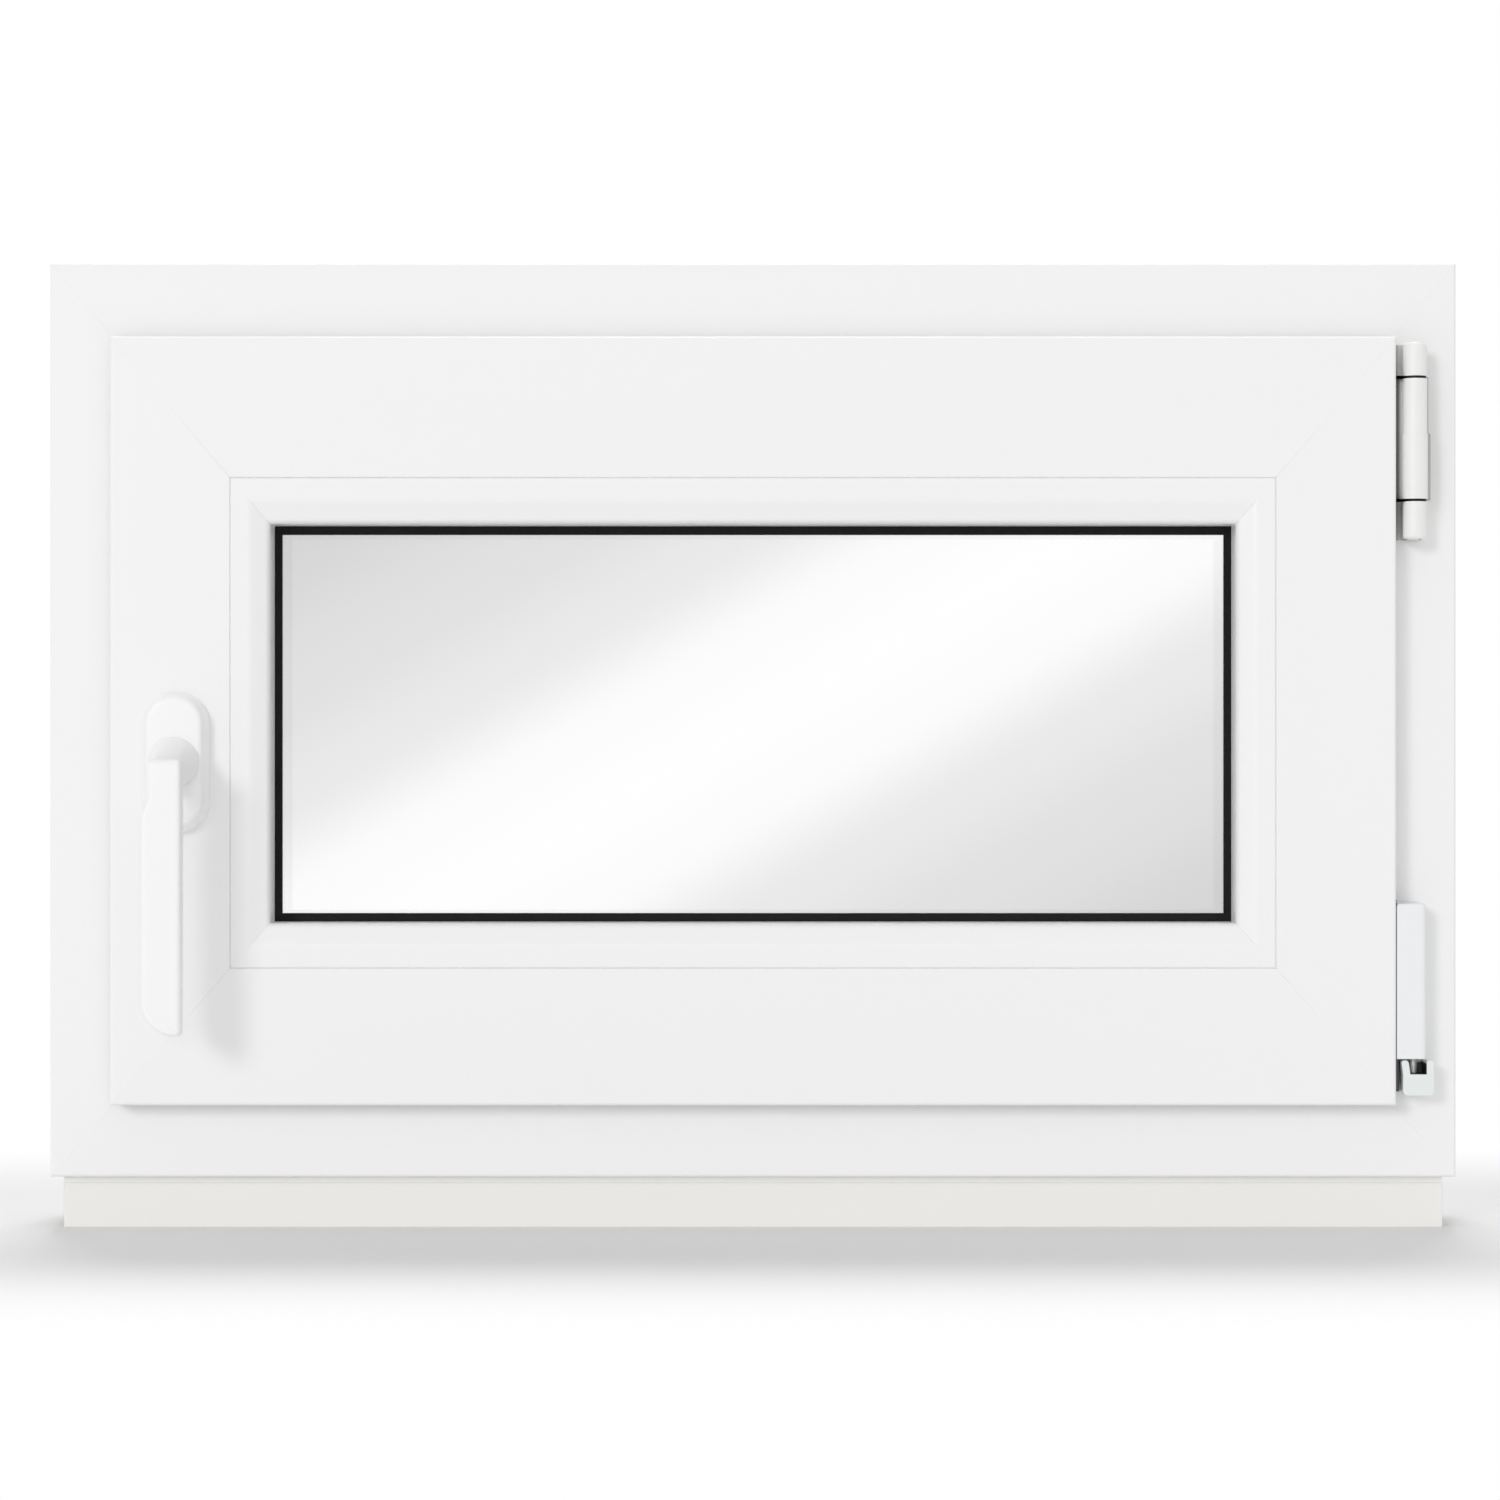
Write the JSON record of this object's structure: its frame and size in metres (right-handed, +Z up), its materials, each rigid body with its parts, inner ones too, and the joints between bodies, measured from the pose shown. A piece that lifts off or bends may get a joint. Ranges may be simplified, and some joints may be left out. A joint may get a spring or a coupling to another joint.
{
  "type": "tilt and turn window",
  "caption": "Small white plastic tilt and turn window: a glazed sash in a fixed frame on a sill profile, with a turning lever handle and hinges on the right.",
  "frame": {"origin": "middle of the sill profile's flat underside", "axes": "+X to the right as seen from the room, +Y outdoors through the window, +Z up"},
  "size_m": [0.6, 0.137, 0.412],
  "materials": {
    "white_profile": "satin",
    "sill_plastic": "satin",
    "black_rubber": "matte",
    "seal_rubber": "matte",
    "clear_glass": "gloss",
    "spacer_metal": "satin",
    "handle_coat": "satin",
    "steel": "satin",
    "hinge_cover": "satin",
    "hinge_coat": "satin"
  },
  "bodies": {
    "window": {"frame_head": "white_profile", "frame_bottom_rail": "white_profile", "frame_left_jamb": "white_profile", "frame_right_jamb": "white_profile", "sash_top_rail": "white_profile", "sash_bottom_rail": "white_profile", "sash_left_stile": "white_profile", "sash_right_stile": "white_profile", "glazing_bead_top": "white_profile", "glazing_bead_bottom": "white_profile", "glazing_bead_left": "white_profile", "glazing_bead_right": "white_profile", "drain_cap_left": "white_profile", "drain_cap_right": "white_profile", "sill_profile": "sill_plastic", "inner_glazing_gasket": "black_rubber", "outer_glazing_gasket": "black_rubber", "edge_sealant": "black_rubber", "sash_seal": "seal_rubber", "frame_seal": "seal_rubber", "inner_glass_pane": "clear_glass", "outer_glass_pane": "clear_glass", "glass_spacer_bar": "spacer_metal", "handle_rosette": "handle_coat", "upper_hinge_pin": "steel", "pivot_pin": "steel", "lower_hinge_strap": "steel", "lower_hinge_cover": "hinge_cover", "upper_hinge_cap": "hinge_cover", "upper_hinge_sleeve": "hinge_cover", "upper_hinge_bracket": "hinge_coat", "pivot_block": "hinge_coat"},
    "handle": {"handle_lever": "handle_coat", "handle_spindle": "steel"}
  },
  "joints": [
    {"name": "handle_turn", "type": "hinge", "parent": "window", "child": "handle", "pos_m": [-0.2437, -0.058, 0.199], "axis": [0, -1, 0], "range_deg": [0, 180]}
  ]
}
